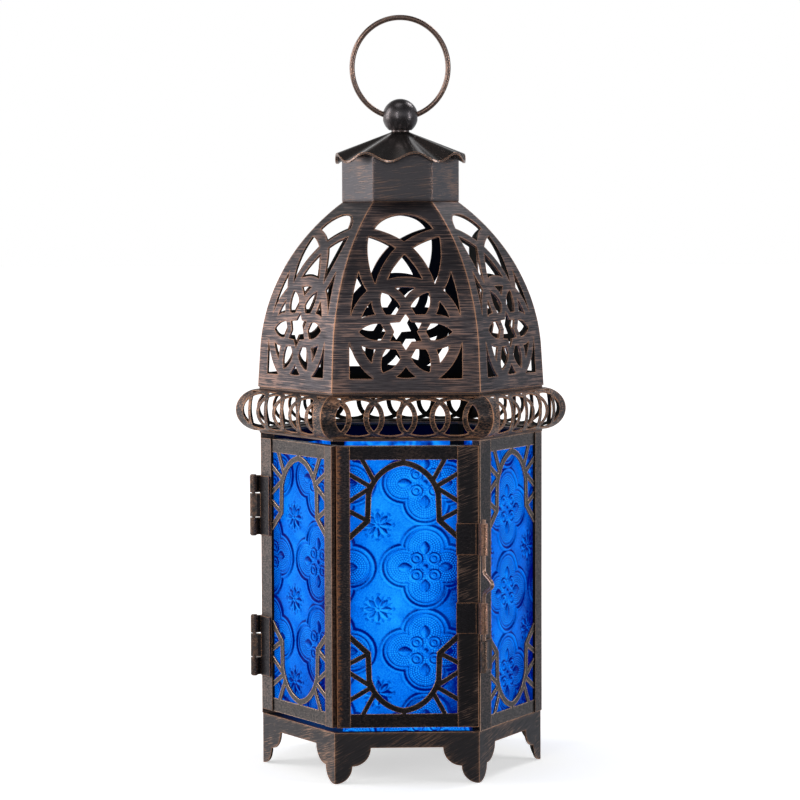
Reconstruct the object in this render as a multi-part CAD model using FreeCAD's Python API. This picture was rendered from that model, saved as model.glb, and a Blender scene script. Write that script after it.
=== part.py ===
"""Hexagonal candle lantern in millimetres: sheet-metal body, patterned glass, pierced dome and ring.

The origin is the middle of the footprint at the foot tips, +Z is up and the front face looks along -Y.
Every face item is drawn on the front face, where t runs right, n runs out from the axis and z runs up,
and is then turned about Z on to its own face.
"""
import FreeCAD, Part
import math
import os

Vec = FreeCAD.Vector
TAN30 = math.tan(math.radians(30.0))
COS30 = math.cos(math.radians(30.0))

# ---------------------------------------------------------------- driving dimensions
sheet = 0.8                  # thickness of the folded and pierced sheet
strip = 0.5                  # thickness of the folded channel strip
corner_radius = 56.0         # axis to the outer corner of the skirt
flat = corner_radius * COS30         # axis to the outside of a skirt face
half_face = corner_radius / 2.0      # half the width of a face
body_bottom = 20.0           # top of the skirt, where the fixed panels stand
body_top = 132.9             # top of the fixed panels
door_bottom = 21.9
door_top = 131.0

# skirt and legs
skirt_low_edge = 14.0
upper_lobe_radius = 7.2
upper_lobe_from_corner = 6.8
foot_flat = 0.9              # flat length at each foot tip

# layers of a panel, measured out from the axis
inner_flange_n = 44.2
glass_inner_n = 44.8
glass_outer_n = 47.6
fretwork_inner_n = 47.7
fretwork_outer_n = 48.4
channel_outer_n = fretwork_outer_n + strip
glass_half_width = 24.8
fretwork_half_width = 26.4

# channel section: play round what it holds, and its walls where it stands square to the face
slot_play = 0.15
slot_ledge = 0.05
flange_grip = 2.8            # how far the inner flange reaches in behind the pane
square_wall = 0.45
neck_wall = 0.35
shoulder_high_n = 47.3
shoulder_low_n = 44.9

# stiles: width over the face, and how far the edge stays off the mitre
post_width = 5.9
hinge_stile_width = 8.3
latch_post_width = 9.7
door_edge_gap = 0.35
door_corner_gap = 1.0

# fretwork ornament, measured from the middle of the field and down from its top
rail_height = 5.3
fixed_rail_height = 5.0
arch_width = 2.2
spoke_width = 1.8
stem_width = 1.75

# gallery: a bulging pierced strip between two flat rings
gallery_ring_flat = 49.1
gallery_ring_bottom = 133.0
gallery_top = 151.5
gallery_bulge = 8.2
circle_pitch = 12.6
circle_inner = 8.35
circle_outer = 10.3
eye_top = 9.9
gallery_sheet = 0.45

# dome: a leaning skirt that turns into an arc
dome_bottom = gallery_top
dome_top = 225.0
dome_bend_z = 166.7
dome_bend_n = 48.74
dome_lean = math.radians(3.12)
dome_arc_radius = 82.4
rosette_height = 23.5        # along the sheet, from the dome's lower edge
ring_inner = 17.75
ring_outer = 22.0
dome_side_line = 21.65
dome_rail = 5.5

# collar, cap and finial
collar_radius = 23.3
collar_top = 246.0           # before it is trimmed to the cap's underside
strap_level = 235.6
nut_height = 3.2
cap_radius = 26.0
cap_mean_eave_z = 242.6
cap_wave = 1.7
cap_flutes = 8
cap_first_low = -102.0       # direction of one low point, in degrees
cap_lip = 0.75
cap_top_z = 252.7
cap_crown_radius = 3.6
stud_radius = 2.0
stud_hole_radius = 2.1
washer_top = 253.4
ball_radius = 7.04
ball_centre_z = 258.8
ring_hole_radius = 1.9
ring_axis_z = 259.0
ring_wire_radius = 1.05
ring_half_width = 19.1
ring_half_height = 19.8
ring_drop = 0.6              # lowest point of the wire's middle line under the hole's axis
ring_joint = -27.0           # direction of the butt joint from the ring's middle, in degrees
ring_joint_gap = 0.3         # in degrees

# candle cup
cup_inner_radius = 20.0
cup_wall = 0.8
cup_height = 9.0
cup_flange_radius = 26.0
cup_rivet_offset = 23.4

# hinges at the left corner and bolt at the front right corner, on one radius
pin_offset_t = 29.65
pin_offset_n = 51.35
knuckle_radius = 1.5
pin_radius = 0.7
pin_clearance = 0.05
leaf_width = 7.1
leaf_setback = 0.6           # plate's edge from the corner of the skirt
web_lead = 0.5
curl_share = 0.72            # where the web meets the barrel, as a share of its radius each way
hinge_spans = {"upper": (92.1, 98.9, 109.1, 115.9), "lower": (35.6, 42.6, 52.6, 59.5)}
knuckle_gap = 0.45
bolt_radius = 0.85
guide_radius = 1.63
guide_leaf_width = 8.3
guide_spans = {"upper": (88.9, 101.1), "lower": (58.4, 70.4)}
keeper_span = (43.4, 55.5)
bolt_bottom = 55.75
bolt_top = 102.8
handle_low = 74.2
handle_high = 81.8
handle_reach = 7.0
shoulder_radius = 3.0
tip_radius = 1.3

turns = {"front": 0, "right": 60, "back_right": 120, "back": 180, "back_left": 240, "left": 300}


# ---------------------------------------------------------------- helpers
def box(t0, t1, n0, n1, z0, z1):
    """Box on the front face."""
    return Part.makeBox(t1 - t0, n1 - n0, z1 - z0, Vec(t0, -n1, z0))


def plan_prism(outline, z0, z1):
    """Upright prism over a plan outline of (t, n) points."""
    corners = [Vec(t, -n, z0) for t, n in outline]
    face = Part.Face(Part.makePolygon(corners + corners[:1]))
    return face.extrude(Vec(0, 0, z1 - z0))


def upright_cylinder(t, n, radius, z0, z1):
    return Part.makeCylinder(radius, z1 - z0, Vec(t, -n, z0))


def hexagon(flat_distance, z0, z1):
    """Hexagonal prism with corners on the X axis."""
    reach = flat_distance / COS30
    angles = [math.radians(60 * k) for k in range(6)]
    return plan_prism([(reach * math.cos(a), reach * math.sin(a)) for a in angles], z0, z1)


def wedge(reach, z0, z1):
    """The sixth of space in front of the front face, between its two mitre planes."""
    return plan_prism([(0, 0), (reach * TAN30, reach), (-reach * TAN30, reach)], z0, z1)


def turned(shape, angle):
    copy = shape.copy()
    copy.rotate(Vec(0, 0, 0), Vec(0, 0, 1), angle)
    return copy


def mirrored(shape):
    """The same shape on the other side of the face's middle line."""
    return shape.mirror(Vec(0, 0, 0), Vec(1, 0, 0))


def fused(first, others):
    return first.multiFuse(others).removeSplitter().Solids[0]


def save(name, *solids):
    for solid in solids:
        if not solid.isValid() or solid.Volume <= 0:
            print("problem in", name, solid.Volume)
    shape = solids[0] if len(solids) == 1 else Part.makeCompound(list(solids))
    shape.exportStep(f"parts/{name}.step")


# ---------------------------------------------------------------- base
def base_skirt():
    """Six mitred faces, each with half of a scalloped leg at either end."""
    lobe_t = half_face - upper_lobe_from_corner
    lobe_start = Vec(lobe_t - upper_lobe_radius, 0, skirt_low_edge)
    diagonal = upper_lobe_radius * math.sqrt(0.5)
    lobe_middle = Vec(lobe_t - diagonal, 0, skirt_low_edge - diagonal)
    notch = Vec(lobe_t, 0, skirt_low_edge - upper_lobe_radius)
    lower_middle = Vec(half_face - 5.0, 0, 2.1)
    tip = Vec(half_face - foot_flat, 0, 0)
    beyond = Vec(half_face + 1, 0, 0)
    top = Vec(half_face + 1, 0, body_bottom)
    edges = [Part.makeLine(Vec(0, 0, skirt_low_edge), lobe_start),
             Part.Arc(lobe_start, lobe_middle, notch).toShape(),
             Part.Arc(notch, lower_middle, tip).toShape(),
             Part.makeLine(tip, beyond),
             Part.makeLine(beyond, top),
             Part.makeLine(top, Vec(0, 0, body_bottom)),
             Part.makeLine(Vec(0, 0, body_bottom), Vec(0, 0, skirt_low_edge))]
    half = Part.Face(Part.Wire(edges)).extrude(Vec(0, -sheet, 0))
    half.translate(Vec(0, sheet - flat, 0))
    face = half.fuse(mirrored(half)).common(wedge(flat + 5, -1, body_bottom + 1))
    faces = [turned(face, angle) for angle in turns.values()]
    return fused(faces[0], faces[1:])


def floor_plate():
    plate = hexagon(flat - sheet, body_bottom - 1.0, body_bottom)
    for side in (-1, 1):
        plate = plate.cut(upright_cylinder(side * cup_rivet_offset, 0, 1.25, 0, body_bottom + 1))
    return plate


def candle_cup():
    """Round cup with a flat flange at its foot and two rivet holes."""
    outer = cup_inner_radius + cup_wall
    cup = upright_cylinder(0, 0, outer, body_bottom, body_bottom + cup_height)
    flange = upright_cylinder(0, 0, cup_flange_radius, body_bottom, body_bottom + cup_wall)
    hollow = upright_cylinder(0, 0, cup_inner_radius, body_bottom + cup_wall, body_bottom + cup_height)
    cup = cup.fuse(flange).removeSplitter().cut(hollow)
    for side in (-1, 1):
        hole = upright_cylinder(side * cup_rivet_offset, 0, 1.25, 0, body_bottom + cup_wall)
        cup = cup.cut(hole)
    return cup.Solids[0]


def cup_rivet(t):
    low = body_bottom - 1.0
    high = body_bottom + cup_wall
    shank = upright_cylinder(t, 0, 1.25, low, high)
    head = Part.makeSphere(3.2, Vec(t, 0, high - 2.4))
    head = head.common(upright_cylinder(t, 0, 2.1, high, high + 2))
    tail = upright_cylinder(t, 0, 2.0, low - 0.6, low)
    return fused(shank, [head, tail])


# ---------------------------------------------------------------- panels
def face_strip(edges, n0, n1):
    """A closed outline in the plane of the face, given thickness from n0 to n1."""
    solid = Part.Face(Part.Wire(edges)).extrude(Vec(0, n0 - n1, 0))
    solid.translate(Vec(0, -n0, 0))
    return solid


def straight_bar(start, end, width):
    """Bar of the fretwork between two (t, z) points."""
    a = Vec(start[0], 0, start[1])
    b = Vec(end[0], 0, end[1])
    along = (b - a).normalize()
    across = Vec(-along.z, 0, along.x) * (width / 2)
    corners = [a + across, b + across, b - across, a - across]
    outline = Part.makePolygon(corners + corners[:1]).Edges
    return face_strip(outline, fretwork_inner_n, fretwork_outer_n)


def arched_bar(start, middle, end, width):
    """Bar of the fretwork that follows the arc through three (t, z) points."""
    points = [Vec(t, 0, z) for t, z in (start, middle, end)]
    circle = Part.Arc(*points).toShape().Curve
    centre = circle.Center
    grow = (circle.Radius + width / 2) / circle.Radius
    shrink = (circle.Radius - width / 2) / circle.Radius
    outer = [centre + (p - centre) * grow for p in points]
    inner = [centre + (p - centre) * shrink for p in points]
    edges = [Part.Arc(*outer).toShape(), Part.makeLine(outer[2], inner[2]),
             Part.Arc(inner[2], inner[1], inner[0]).toShape(), Part.makeLine(inner[0], outer[0])]
    return face_strip(edges, fretwork_inner_n, fretwork_outer_n)


def ornament(middle, half_width, edge, up):
    """Pointed arch with its spokes at one end of a field; up is 1 at the top and -1 at the bottom."""
    bars = [straight_bar((middle, edge + up), (middle, edge - up * 1.6), stem_width)]
    arch_foot = half_width - 6.8
    for side in (-1, 1):
        def at(across, down):
            return (middle + side * across, edge - up * down)
        stile_line = half_width + 0.8
        peak = at(-0.45, 1.1)
        haunch = at(arch_foot - 5.8, 4.6)
        spring = at(arch_foot - 0.3, 13.6)
        foot = at(arch_foot, 23.5)
        leg = [at(arch_foot - 0.35, 13.2), foot]
        tail = [at(stile_line, 30.4), foot]
        crown_spoke = [at(half_width - 4.3, -1.0), at(arch_foot - 2.6, 8.3)]
        falling_spoke = [at(stile_line, 5.2), at(arch_foot - 0.7, 10.1)]
        rising_spoke = [at(stile_line, 16.3), at(arch_foot - 0.7, 11.0)]
        foot_spoke = [at(stile_line, 19.5), foot]
        knee = Part.makeCylinder(arch_width / 2, fretwork_outer_n - fretwork_inner_n,
                                 Vec(foot[0], -fretwork_outer_n, foot[1]), Vec(0, 1, 0))
        bars.append(arched_bar(peak, haunch, spring, arch_width))
        bars.append(knee)
        for bar in (leg, tail):
            bars.append(straight_bar(*bar, arch_width))
        for spoke in (crown_spoke, falling_spoke, rising_spoke, foot_spoke):
            bars.append(straight_bar(*spoke, spoke_width))
    return bars


def fretwork(left_width, right_width, z0, z1, rail, lips):
    """Pierced sheet of one panel; lips fold in over the ends of the pane."""
    field_left = left_width - half_face
    field_right = half_face - right_width
    field_low = z0 + rail
    field_high = z1 - rail
    plate = box(-fretwork_half_width, fretwork_half_width, fretwork_inner_n, fretwork_outer_n, z0, z1)
    field = box(field_left, field_right, fretwork_inner_n - 1, fretwork_outer_n + 1, field_low, field_high)
    middle = (field_left + field_right) / 2
    half_width = (field_right - field_left) / 2
    bars = ornament(middle, half_width, field_high, 1) + ornament(middle, half_width, field_low, -1)
    for low in lips:
        bars.append(box(-glass_half_width, glass_half_width, inner_flange_n + strip, fretwork_inner_n,
                        low, low + 0.6))
    return fused(plate.cut(field), bars)


def pane(z0, z1):
    return box(-glass_half_width, glass_half_width, glass_inner_n, glass_outer_n, z0, z1)


def stile(width, gap, z0, z1):
    """Channel round the right-hand edge of a panel, gap short of the mitre plane."""
    outer_edge = half_face - width
    inner_edge = glass_half_width - flange_grip
    glass_side = glass_half_width + slot_play
    sheet_side = fretwork_half_width + slot_play
    back = inner_flange_n + strip
    ledge = fretwork_inner_n - slot_ledge
    if gap > door_edge_gap:
        # a wide gap: the channel's side stands square to the face
        square_t = sheet_side + square_wall
        neck_t = glass_side + neck_wall
        side = [(square_t, channel_outer_n), (square_t, shoulder_high_n), (neck_t, shoulder_low_n),
                (neck_t, inner_flange_n)]
    else:
        side = [(channel_outer_n * TAN30 - gap, channel_outer_n),
                (inner_flange_n * TAN30 - gap, inner_flange_n)]
    outline = [(outer_edge, channel_outer_n)] + side
    outline += [(inner_edge, inner_flange_n), (inner_edge, back), (glass_side, back), (glass_side, ledge),
                (sheet_side, ledge), (sheet_side, fretwork_outer_n), (outer_edge, fretwork_outer_n)]
    return plan_prism(outline, z0, z1)


def corner_post(first_turn, width):
    """Channels of two neighbouring faces, joined down the corner between them."""
    half = stile(width, 0, body_bottom, body_top)
    return fused(turned(half, first_turn), [turned(mirrored(half), first_turn + 60)])


def door_corner_strip():
    """Folded strip behind the two inner stiles that joins the door's panels."""
    n1 = inner_flange_n
    n0 = n1 - strip
    outline = [(19.5, n1), (n1 * TAN30, n1), (n0 * TAN30, n0), (19.5, n0)]
    front_half = mirrored(plan_prism(outline, door_bottom, door_top))
    left_half = turned(plan_prism(outline, door_bottom, door_top), turns["left"])
    return fused(front_half, [left_half])


# ---------------------------------------------------------------- hinges and bolt
def barrel_leaf(width, radius, bore, plate_span, barrel_spans):
    """Leaf on the right-hand stile, curled round the pin line just outside the corner."""
    n0 = channel_outer_n
    n1 = n0 + sheet
    plate_edge = half_face - leaf_setback
    web_start = plate_edge - leaf_setback
    side = radius * curl_share
    plate = box(plate_edge - width, plate_edge, n0, n1, *plate_span)
    web_outline = [(web_start, n0), (plate_edge + web_lead, n0), (pin_offset_t + side, pin_offset_n - side),
                   (pin_offset_t - side, pin_offset_n + side), (web_start, n1)]
    solids = []
    for z0, z1 in barrel_spans:
        web = plan_prism(web_outline, z0, z1)
        barrel = upright_cylinder(pin_offset_t, pin_offset_n, radius, z0, z1)
        solids += [web, barrel]
    leaf = fused(plate, solids)
    low = plate_span[0] - 1
    high = plate_span[1] + 1
    return leaf.cut(upright_cylinder(pin_offset_t, pin_offset_n, bore, low, high)).Solids[0]


def hinge_door_leaf(spans):
    low, middle_low, middle_high, high = spans
    knuckle = [(middle_low + knuckle_gap, middle_high - knuckle_gap)]
    return barrel_leaf(leaf_width, knuckle_radius, pin_radius + pin_clearance, (low, high), knuckle)


def hinge_frame_leaf(spans):
    low, middle_low, middle_high, high = spans
    knuckles = [(low, middle_low), (middle_high, high)]
    return barrel_leaf(leaf_width, knuckle_radius, pin_radius, (low, high), knuckles)


def hinge_pin(spans):
    """Pin with a peened head at either end."""
    low, high = spans[0], spans[3]
    pin = upright_cylinder(pin_offset_t, pin_offset_n, pin_radius, low, high)
    heads = []
    for z in (low - 0.4, high):
        heads.append(upright_cylinder(pin_offset_t, pin_offset_n, 1.15, z, z + 0.4))
    return fused(pin, heads)


def latch_bolt():
    """Straight wire with a pointed thumb loop bent out of its middle."""
    def at(out, z):
        """A point out from the pin line, along the corner's own direction."""
        return Vec(pin_offset_t + out / 2, -pin_offset_n - out * COS30, z)

    def fillet(before, corner, after, radius):
        to_before = (before - corner).normalize()
        to_after = (after - corner).normalize()
        half_angle = to_before.getAngle(to_after) / 2
        reach = radius / math.tan(half_angle)
        bisector = (to_before + to_after).normalize()
        middle = corner + bisector * (radius / math.sin(half_angle) - radius)
        return corner + to_before * reach, middle, corner + to_after * reach

    corners = [at(0, bolt_bottom), at(0, handle_low), at(handle_reach, (handle_low + handle_high) / 2),
               at(0, handle_high), at(0, bolt_top)]
    edges = []
    start = corners[0]
    for k, radius in ((1, shoulder_radius), (2, tip_radius), (3, shoulder_radius)):
        entry, middle, leave = fillet(corners[k - 1], corners[k], corners[k + 1], radius)
        edges.append(Part.makeLine(start, entry))
        edges.append(Part.Arc(entry, middle, leave).toShape())
        start = leave
    edges.append(Part.makeLine(start, corners[-1]))
    section = Part.Wire(Part.makeCircle(bolt_radius, corners[0], Vec(0, 0, 1)))
    return Part.Wire(edges).makePipeShell([section], True, False)


# ---------------------------------------------------------------- curved pierced sheets
def pierce(outline, place, middle):
    """Cutter for a curved sheet. The outline is a list of two- or three-point stretches in flat sheet
    coordinates, place carries them to a depth either side of the sheet, and middle is inside it."""
    rims = []
    for depth in (-sheet - 0.4, 0.4):
        edges = []
        for stretch in outline:
            flat_points = [Vec(u, w, 0) for u, w in stretch]
            curve = Part.Arc(*flat_points) if len(stretch) == 3 else Part.LineSegment(*flat_points)
            samples = curve.toShape().discretize(Number=7)
            spline = Part.BSplineCurve()
            spline.interpolate([place(p.x, p.y, depth) for p in samples])
            edges.append(spline.toShape())
        rims.append(Part.Wire(edges))
    tips = [Part.Vertex(place(middle[0], middle[1], depth)) for depth in (-sheet - 1.2, 1.2)]
    return Part.makeLoft([tips[0], rims[0], rims[1], tips[1]], True, True)


def flipped(outline):
    return [[(-u, w) for u, w in stretch] for stretch in outline]


def rotated(outline, angle, lift):
    """The outline turned about the rosette's middle and raised to its height on the sheet."""
    c = math.cos(math.radians(angle))
    s = math.sin(math.radians(angle))
    return [[(u * c - w * s, u * s + w * c + lift) for u, w in stretch] for stretch in outline]


# ---------------------------------------------------------------- gallery
gallery_low = gallery_ring_bottom + sheet
gallery_high = gallery_top - sheet
gallery_middle_z = (gallery_low + gallery_high) / 2
gallery_half = (gallery_high - gallery_low) / 2
gallery_arc = (gallery_half ** 2 + gallery_bulge ** 2) / (2 * gallery_bulge)
gallery_arc_n = gallery_ring_flat + gallery_bulge - gallery_arc


def gallery_point(t, s, depth):
    """Point of the bulge; s is the distance round it from its middle line."""
    angle = s / gallery_arc
    reach = gallery_arc + depth
    return Vec(t, -gallery_arc_n - reach * math.cos(angle), gallery_middle_z + reach * math.sin(angle))


def gallery_strip():
    """Half tube, mitred at both ends and pierced by a row of overlapping circles."""
    tube_start = Vec(-40, -gallery_arc_n, gallery_middle_z)
    outer = Part.makeCylinder(gallery_arc, 80, tube_start, Vec(1, 0, 0))
    inner = Part.makeCylinder(gallery_arc - gallery_sheet, 80, tube_start, Vec(1, 0, 0))
    front = box(-40, 40, gallery_ring_flat - sheet, 70, gallery_low, gallery_high)
    strip_solid = outer.cut(inner).common(front).common(wedge(70, 130, 155))

    tip = math.sqrt(circle_inner ** 2 - (circle_pitch / 2) ** 2)
    cross = math.sqrt(circle_outer ** 2 - (circle_pitch / 2) ** 2)
    half_eye = circle_inner - circle_pitch / 2
    side_u = (circle_pitch ** 2 + circle_inner ** 2 - circle_outer ** 2) / (2 * circle_pitch)
    side_w = math.sqrt(circle_inner ** 2 - side_u ** 2)
    waist = circle_pitch - circle_outer
    eye_mid_w = (cross + eye_top) / 2
    eye_mid_u = circle_pitch / 2 - math.sqrt(circle_outer ** 2 - eye_mid_w ** 2)
    eye_u = circle_pitch / 2 - math.sqrt(circle_outer ** 2 - eye_top ** 2)

    holes = []
    for k in range(-2, 3):
        c = k * circle_pitch
        holes.append(([[(c, tip), (c + half_eye, 0), (c, -tip)],
                       [(c, -tip), (c - half_eye, 0), (c, tip)]], (c, 0)))
        for up in (-1, 1):
            holes.append(([[(c, up * cross), (c + eye_mid_u, up * eye_mid_w), (c + eye_u, up * eye_top)],
                           [(c + eye_u, up * eye_top), (c - eye_u, up * eye_top)],
                           [(c - eye_u, up * eye_top), (c - eye_mid_u, up * eye_mid_w), (c, up * cross)]],
                          (c, up * (eye_top - 0.4))))
    for k in (-1.5, -0.5, 0.5, 1.5):
        c = k * circle_pitch
        holes.append(([[(c - side_u, side_w), (c, circle_inner), (c + side_u, side_w)],
                       [(c + side_u, side_w), (c + waist, 0), (c + side_u, -side_w)],
                       [(c + side_u, -side_w), (c, -circle_inner), (c - side_u, -side_w)],
                       [(c - side_u, -side_w), (c - waist, 0), (c - side_u, side_w)]], (c, 0)))
    cutters = [pierce(outline, gallery_point, middle) for outline, middle in holes]
    return strip_solid.cut(cutters).Solids[0]


def gallery_ring(z0):
    return hexagon(gallery_ring_flat, z0, z0 + sheet).cut(hexagon(inner_flange_n, z0 - 1, z0 + 2))


# ---------------------------------------------------------------- dome
dome_arc_n = dome_bend_n - dome_arc_radius * math.cos(dome_lean)
dome_arc_z = dome_bend_z - dome_arc_radius * math.sin(dome_lean)
dome_straight = (dome_bend_z - dome_bottom) / math.cos(dome_lean)
dome_top_angle = math.asin((dome_top - dome_arc_z) / dome_arc_radius)


def dome_point(t, s, depth):
    """Point of a petal; s is the distance up the sheet from the dome's lower edge."""
    angle = dome_lean
    n = dome_bend_n + (dome_straight - s) * math.sin(dome_lean)
    z = dome_bottom + s * math.cos(dome_lean)
    if s > dome_straight:
        angle += (s - dome_straight) / dome_arc_radius
        n = dome_arc_n + dome_arc_radius * math.cos(angle)
        z = dome_arc_z + dome_arc_radius * math.sin(angle)
    return Vec(t, -n - depth * math.cos(angle), z + depth * math.sin(angle))


def on_ring(radius, angle):
    return (radius * math.cos(math.radians(angle)), radius * math.sin(math.radians(angle)))


def petal_holes():
    """Flat outlines of every opening, measured from the rosette's middle, each with an inside point."""
    star = []
    for k in range(6):
        star.append([on_ring(7.0, 60 * k + 30), on_ring(4.35, 60 * k + 60)])
        star.append([on_ring(4.35, 60 * k + 60), on_ring(7.0, 60 * k + 90)])
    leaf = [[(18.0, 0), (14.2, 2.6), (9.6, 3.2)], [(9.6, 3.2), (7.75, 0)],
            [(7.75, 0), (9.6, -3.2)], [(9.6, -3.2), (14.2, -2.6), (18.0, 0)]]
    corner_u = math.sqrt(ring_inner ** 2 - 3.8 ** 2)
    spandrel = [[(13.5, 0), (15.6, 1.7), (corner_u, 3.8)],
                [(corner_u, 3.8), (ring_inner, 0), (corner_u, -3.8)],
                [(corner_u, -3.8), (15.6, -1.7), (13.5, 0)]]
    rail_w = dome_rail - rosette_height
    low_w = -math.sqrt(ring_outer ** 2 - dome_side_line ** 2)
    low_u = -math.sqrt(ring_outer ** 2 - rail_w ** 2)
    foot = [[(-dome_side_line, low_w), (-dome_side_line, rail_w)],
            [(-dome_side_line, rail_w), (low_u, rail_w)],
            [(low_u, rail_w), on_ring(ring_outer, 213), (-dome_side_line, low_w)]]
    sliver_in = on_ring(ring_outer, 132)
    sliver_out = on_ring(ring_outer, 163.8)
    sliver = [[(-17.8, 24.1), (-16.7, 20.3), sliver_in], [sliver_in, on_ring(ring_outer, 148), sliver_out],
              [sliver_out, (-20.0, 14.6), (-17.8, 24.1)]]
    peak_left = on_ring(ring_outer, 108)
    peak_right = on_ring(ring_outer, 72)
    peak = [[(0, 31.8), (3.9, 26.6), peak_right], [peak_right, (0, ring_outer), peak_left],
            [peak_left, (-3.9, 26.6), (0, 31.8)]]
    side = [[(-13.7, 39.9), (-8.7, 37.95), (-3.3, 34.7)], [(-3.3, 34.7), (-8.3, 27.3), (-11.5, 18.9)],
            [(-11.5, 18.9), (-14.0, 29.5), (-13.7, 39.9)]]
    crown = [[(-11.4, 43.65), (0, 51.3), (11.4, 43.65)], [(11.4, 43.65), (6.0, 41.4), (0, 37.5)],
             [(0, 37.5), (-6.0, 41.4), (-11.4, 43.65)]]

    lift = rosette_height
    holes = [(rotated(star, 0, lift), (0, lift)), (rotated(peak, 0, lift), (0, 25.0 + lift)),
             (rotated(crown, 0, lift), (0, 44.5 + lift))]
    for k in range(6):
        leaf_middle = on_ring(11.5, 60 * k)
        holes.append((rotated(leaf, 60 * k, lift), (leaf_middle[0], leaf_middle[1] + lift)))
        spandrel_middle = on_ring(16.3, 60 * k + 30)
        holes.append((rotated(spandrel, 60 * k + 30, lift), (spandrel_middle[0], spandrel_middle[1] + lift)))
    for outline, middle in ((foot, (-19.9, -15.5)), (sliver, (-17.9, 16.0)), (side, (-11.0, 31.5))):
        holes.append((rotated(outline, 0, lift), (middle[0], middle[1] + lift)))
        holes.append((rotated(flipped(outline), 0, lift), (-middle[0], middle[1] + lift)))
    return holes


def dome_petal():
    """Curved sheet between two mitre planes, pierced by a rosette under crossing arcs."""
    def profile(depth):
        knots = [dome_point(-40, s, depth) for s in (0, dome_straight)]
        arc_length = dome_arc_radius * (dome_top_angle - dome_lean)
        arc = [dome_point(-40, dome_straight + arc_length * part, depth) for part in (0, 0.5, 1)]
        return knots, arc

    outer_line, outer_arc = profile(0)
    inner_line, inner_arc = profile(-sheet)
    edges = [Part.makeLine(*outer_line), Part.Arc(*outer_arc).toShape(),
             Part.makeLine(outer_arc[2], inner_arc[2]),
             Part.Arc(inner_arc[2], inner_arc[1], inner_arc[0]).toShape(),
             Part.makeLine(inner_line[1], inner_line[0]), Part.makeLine(inner_line[0], outer_line[0])]
    band = Part.Face(Part.Wire(edges)).extrude(Vec(80, 0, 0))
    trim = wedge(70, dome_bottom, dome_top)
    cutters = [pierce(outline, dome_point, middle) for outline, middle in petal_holes()]
    return band.common(trim).cut(cutters).Solids[0]


# ---------------------------------------------------------------- collar, cap, finial and ring
def collar(cap):
    """Hexagonal tube whose top edge follows the waves of the cap just above it."""
    tube_flat = collar_radius * COS30
    tube = hexagon(tube_flat, dome_top, collar_top).cut(hexagon(tube_flat - sheet, 0, collar_top + 1))
    lowered = cap.copy()
    lowered.translate(Vec(0, 0, -0.15))
    pieces = tube.cut(lowered).Solids
    return max(pieces, key=lambda piece: piece.Volume)


def collar_strap():
    """Flat bar across the collar, with an end folded down against each of two faces."""
    reach = collar_radius * COS30 - sheet
    low = strap_level - 6.0
    bar = box(-4, 4, -reach, reach, strap_level, strap_level + 1.2)
    ends = [box(-4, 4, reach - 1.0, reach, low, strap_level),
            box(-4, 4, -reach, 1.0 - reach, low, strap_level)]
    strap = fused(bar, ends)
    return strap.cut(upright_cylinder(0, 0, stud_hole_radius, low, strap_level + 3)).Solids[0]


def closed_curve(radius, z, wave):
    """Closed ring whose height waves round the eave."""
    points = []
    for k in range(64):
        angle = math.radians(cap_first_low) + 2 * math.pi * k / 64
        height = z - wave * math.cos(2 * math.pi * k * cap_flutes / 64)
        points.append(Vec(radius * math.cos(angle), radius * math.sin(angle), height))
    curve = Part.BSplineCurve()
    curve.interpolate(Points=points, PeriodicFlag=True)
    return curve.toShape()


def cap_roof():
    """Shallow fluted cone with a turned-down eave and a hole for the stud."""
    inner = cap_radius - sheet
    loops = [closed_curve(stud_hole_radius, cap_top_z, 0), closed_curve(cap_crown_radius, cap_top_z, 0),
             closed_curve(cap_radius, cap_mean_eave_z, cap_wave),
             closed_curve(cap_radius, cap_mean_eave_z - cap_lip, cap_wave),
             closed_curve(inner, cap_mean_eave_z - cap_lip, cap_wave),
             closed_curve(inner, cap_mean_eave_z - 0.6, cap_wave),
             closed_curve(cap_crown_radius, cap_top_z - sheet, 0),
             closed_curve(stud_hole_radius, cap_top_z - sheet, 0)]
    faces = []
    for k, loop in enumerate(loops):
        following = loops[(k + 1) % len(loops)]
        faces += Part.makeRuledSurface(loop, following).Faces
    shell = Part.makeShell(faces)
    shell.sewShape()
    solid = Part.makeSolid(Part.Shell(shell.Faces))
    if solid.Volume < 0:
        solid.reverse()
    return solid


def ball_finial():
    """Ball with a flat seat, a stud hole below and a hole across it for the ring."""
    ball = Part.makeSphere(ball_radius, Vec(0, 0, ball_centre_z))
    ball = ball.cut(upright_cylinder(0, 0, 10, washer_top - 5, washer_top))
    ball = ball.cut(upright_cylinder(0, 0, stud_radius, washer_top - 1, washer_top + 2.6))
    hole = Part.makeCylinder(ring_hole_radius, 20, Vec(-10, 0, ring_axis_z), Vec(1, 0, 0))
    return ball.cut(hole).Solids[0]


def finial_washer():
    washer = upright_cylinder(0, 0, 3.6, cap_top_z, washer_top)
    return washer.cut(upright_cylinder(0, 0, stud_hole_radius, cap_top_z - 1, washer_top + 1))


def finial_stud():
    return upright_cylinder(0, 0, stud_radius, strap_level - nut_height - 1.2, washer_top + 2.6)


def finial_nut():
    nut = hexagon(3.5, strap_level - nut_height, strap_level)
    return nut.cut(upright_cylinder(0, 0, stud_radius, 0, strap_level + 1))


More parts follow.
